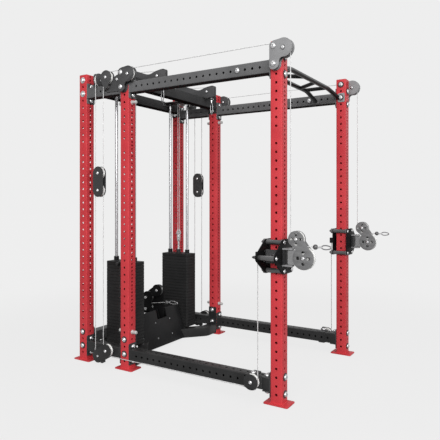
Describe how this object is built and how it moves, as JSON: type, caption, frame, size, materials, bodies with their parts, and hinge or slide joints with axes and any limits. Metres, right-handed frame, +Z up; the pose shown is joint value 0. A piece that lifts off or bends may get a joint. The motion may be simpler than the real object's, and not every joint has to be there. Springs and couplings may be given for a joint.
{
  "type": "power cage with cable stations",
  "caption": "Power cage of square steel tube with a sliding cable trolley on each front upright, weight stacks, lat and low row stations and a pull-up bar.",
  "frame": {"origin": "on the floor, at the middle of the part's bounding box", "axes": "+Z up, -Y towards the user at the front of the cage, +X to the right seen from the front"},
  "size_m": [1.5436, 2.0168, 2.188],
  "materials": {
    "red_powder_coat": "satin powder coat",
    "black_powder_coat": "satin powder coat, fine texture",
    "grey_powder_coat": "satin powder coat",
    "black_cast_plates": "black paint",
    "polished_chrome": "polished",
    "zinc_steel": "zinc plated",
    "white_nylon": "moulded"
  },
  "bodies": {
    "frame": {"front_low_beam_left": "black_powder_coat", "front_low_beam_right": "black_powder_coat", "front_top_beam_left": "black_powder_coat", "front_top_beam_right": "black_powder_coat", "front_top_bracket_left": "grey_powder_coat", "front_top_bracket_right": "grey_powder_coat", "front_upright_left": "red_powder_coat", "front_upright_right": "red_powder_coat", "guide_rods_left": "polished_chrome", "guide_rods_right": "polished_chrome", "lat_bracket_left": "black_powder_coat", "lat_bracket_right": "black_powder_coat", "lat_cable_left": "zinc_steel", "lat_cable_right": "zinc_steel", "lower_cable_left": "zinc_steel", "lower_cable_right": "zinc_steel", "mid_low_crossmember": "black_powder_coat", "mid_top_bracket_left": "grey_powder_coat", "mid_top_bracket_right": "grey_powder_coat", "mid_top_crossmember": "black_powder_coat", "mid_upright_left": "red_powder_coat", "mid_upright_right": "red_powder_coat", "pull_up_bar": "black_powder_coat", "rear_low_beam_left": "black_powder_coat", "rear_low_beam_right": "black_powder_coat", "rear_low_crossmember": "black_powder_coat", "rear_top_beam_left": "black_powder_coat", "rear_top_beam_right": "black_powder_coat", "rear_top_crossmember": "black_powder_coat", "rear_upright_left": "red_powder_coat", "rear_upright_right": "red_powder_coat", "row_cable": "zinc_steel", "upper_cable_left": "zinc_steel", "upper_cable_right": "zinc_steel", "weight_plates_left": "black_cast_plates", "weight_plates_right": "black_cast_plates"},
    "trolley_left": {"trolley_left": "black_powder_coat"},
    "trolley_pin_left": {"trolley_pin_left": "zinc_steel"},
    "arm_left": {"swivel_arm_left": "grey_powder_coat"},
    "arm_upper_sheave_left": {"arm_upper_sheave_left": "white_nylon"},
    "arm_lower_sheave_left": {"arm_lower_sheave_left": "white_nylon"},
    "cable_end_left": {"cable_end_left": "zinc_steel"},
    "float_block_left": {"float_block_left": "black_powder_coat"},
    "front_top_sheave_left": {"front_top_sheave_left": "white_nylon"},
    "mid_top_sheave_left": {"mid_top_sheave_left": "white_nylon"},
    "low_front_sheave_left": {"low_front_sheave_left": "white_nylon"},
    "head_plate_left": {"head_plate_left": "black_cast_plates"},
    "selector_pin_left": {"selector_pin_left": "zinc_steel"},
    "trolley_right": {"trolley_right": "black_powder_coat"},
    "trolley_pin_right": {"trolley_pin_right": "zinc_steel"},
    "arm_right": {"swivel_arm_right": "grey_powder_coat"},
    "arm_upper_sheave_right": {"arm_upper_sheave_right": "white_nylon"},
    "arm_lower_sheave_right": {"arm_lower_sheave_right": "white_nylon"},
    "cable_end_right": {"cable_end_right": "zinc_steel"},
    "float_block_right": {"float_block_right": "black_powder_coat"},
    "front_top_sheave_right": {"front_top_sheave_right": "white_nylon"},
    "mid_top_sheave_right": {"mid_top_sheave_right": "white_nylon"},
    "low_front_sheave_right": {"low_front_sheave_right": "white_nylon"},
    "head_plate_right": {"head_plate_right": "black_cast_plates"},
    "selector_pin_right": {"selector_pin_right": "zinc_steel"}
  },
  "joints": [
    {"name": "trolley_slide_left", "type": "slide", "parent": "frame", "child": "trolley_left", "axis": [0, 0, 1], "range_m": [-0.5588, 0.9144], "deforming": ["upper_cable_left", "lower_cable_left"]},
    {"name": "float_slide_left", "type": "slide", "parent": "frame", "child": "float_block_left", "axis": [0, 0, 1], "range_m": [-0.46, 0.28]},
    {"name": "trolley_pin_slide_left", "type": "slide", "parent": "trolley_left", "child": "trolley_pin_left", "axis": [1, 0, 0], "range_m": [0, 0.014]},
    {"name": "arm_swivel_left", "type": "hinge", "parent": "trolley_left", "child": "arm_left", "pos_m": [-0.63595, -0.76443, 0.8728], "axis": [0, 0, 1], "range_deg": [-75, 75]},
    {"name": "arm_upper_sheave_spin_left", "type": "hinge", "parent": "arm_left", "child": "arm_upper_sheave_left", "pos_m": [-0.63595, -0.80342, 0.9788], "axis": [1, 0, 0], "continuous": true},
    {"name": "arm_lower_sheave_spin_left", "type": "hinge", "parent": "arm_left", "child": "arm_lower_sheave_left", "pos_m": [-0.63595, -0.84642, 0.8728], "axis": [1, 0, 0], "continuous": true},
    {"name": "cable_pull_left", "type": "slide", "parent": "arm_left", "child": "cable_end_left", "axis": [0, -1, 0], "range_m": [0, 0.9]},
    {"name": "front_top_sheave_spin_left", "type": "hinge", "parent": "frame", "child": "front_top_sheave_left", "pos_m": [-0.63595, -0.72542, 2.075], "axis": [1, 0, 0], "continuous": true},
    {"name": "mid_top_sheave_spin_left", "type": "hinge", "parent": "frame", "child": "mid_top_sheave_left", "pos_m": [-0.63595, 0.45567, 2.075], "axis": [1, 0, 0], "continuous": true},
    {"name": "low_front_sheave_spin_left", "type": "hinge", "parent": "frame", "child": "low_front_sheave_left", "pos_m": [-0.63595, -0.51443, 0.118], "axis": [1, 0, 0], "continuous": true},
    {"name": "stack_lift_left", "type": "slide", "parent": "frame", "child": "head_plate_left", "axis": [0, 0, 1], "range_m": [0, 0.9], "deforming": ["lat_cable_left"]},
    {"name": "selector_pin_slide_left", "type": "slide", "parent": "head_plate_left", "child": "selector_pin_left", "axis": [-1, 0, 0], "range_m": [0, 0.08]},
    {"name": "trolley_slide_right", "type": "slide", "parent": "frame", "child": "trolley_right", "axis": [0, 0, 1], "range_m": [-0.5588, 0.9144], "deforming": ["upper_cable_right", "lower_cable_right"]},
    {"name": "float_slide_right", "type": "slide", "parent": "frame", "child": "float_block_right", "axis": [0, 0, 1], "range_m": [-0.46, 0.28]},
    {"name": "trolley_pin_slide_right", "type": "slide", "parent": "trolley_right", "child": "trolley_pin_right", "axis": [-1, 0, 0], "range_m": [0, 0.014]},
    {"name": "arm_swivel_right", "type": "hinge", "parent": "trolley_right", "child": "arm_right", "pos_m": [0.63595, -0.76443, 0.8728], "axis": [0, 0, 1], "range_deg": [-75, 75]},
    {"name": "arm_upper_sheave_spin_right", "type": "hinge", "parent": "arm_right", "child": "arm_upper_sheave_right", "pos_m": [0.63595, -0.80342, 0.9788], "axis": [1, 0, 0], "continuous": true},
    {"name": "arm_lower_sheave_spin_right", "type": "hinge", "parent": "arm_right", "child": "arm_lower_sheave_right", "pos_m": [0.63595, -0.84642, 0.8728], "axis": [1, 0, 0], "continuous": true},
    {"name": "cable_pull_right", "type": "slide", "parent": "arm_right", "child": "cable_end_right", "axis": [0, -1, 0], "range_m": [0, 0.9]},
    {"name": "front_top_sheave_spin_right", "type": "hinge", "parent": "frame", "child": "front_top_sheave_right", "pos_m": [0.63595, -0.72542, 2.075], "axis": [1, 0, 0], "continuous": true},
    {"name": "mid_top_sheave_spin_right", "type": "hinge", "parent": "frame", "child": "mid_top_sheave_right", "pos_m": [0.63595, 0.45567, 2.075], "axis": [1, 0, 0], "continuous": true},
    {"name": "low_front_sheave_spin_right", "type": "hinge", "parent": "frame", "child": "low_front_sheave_right", "pos_m": [0.63595, -0.51443, 0.118], "axis": [1, 0, 0], "continuous": true},
    {"name": "stack_lift_right", "type": "slide", "parent": "frame", "child": "head_plate_right", "axis": [0, 0, 1], "range_m": [0, 0.9], "deforming": ["lat_cable_right"]},
    {"name": "selector_pin_slide_right", "type": "slide", "parent": "head_plate_right", "child": "selector_pin_right", "axis": [1, 0, 0], "range_m": [0, 0.08]}
  ],
  "couplings": [
    {"joint": "float_slide_left", "follows": "trolley_slide_left", "ratio": -0.5},
    {"joint": "low_front_sheave_spin_left", "follows": "trolley_slide_left", "rad_per_m": -25.641},
    {"joint": "cable_pull_left", "follows": "stack_lift_left", "ratio": 1},
    {"joint": "front_top_sheave_spin_left", "follows": "stack_lift_left", "rad_per_m": 25.641},
    {"joint": "mid_top_sheave_spin_left", "follows": "stack_lift_left", "rad_per_m": 25.641},
    {"joint": "arm_upper_sheave_spin_left", "follows": "stack_lift_left", "rad_per_m": -25.641},
    {"joint": "float_slide_right", "follows": "trolley_slide_right", "ratio": -0.5},
    {"joint": "low_front_sheave_spin_right", "follows": "trolley_slide_right", "rad_per_m": -25.641},
    {"joint": "cable_pull_right", "follows": "stack_lift_right", "ratio": 1},
    {"joint": "front_top_sheave_spin_right", "follows": "stack_lift_right", "rad_per_m": 25.641},
    {"joint": "mid_top_sheave_spin_right", "follows": "stack_lift_right", "rad_per_m": 25.641},
    {"joint": "arm_upper_sheave_spin_right", "follows": "stack_lift_right", "rad_per_m": -25.641}
  ]
}
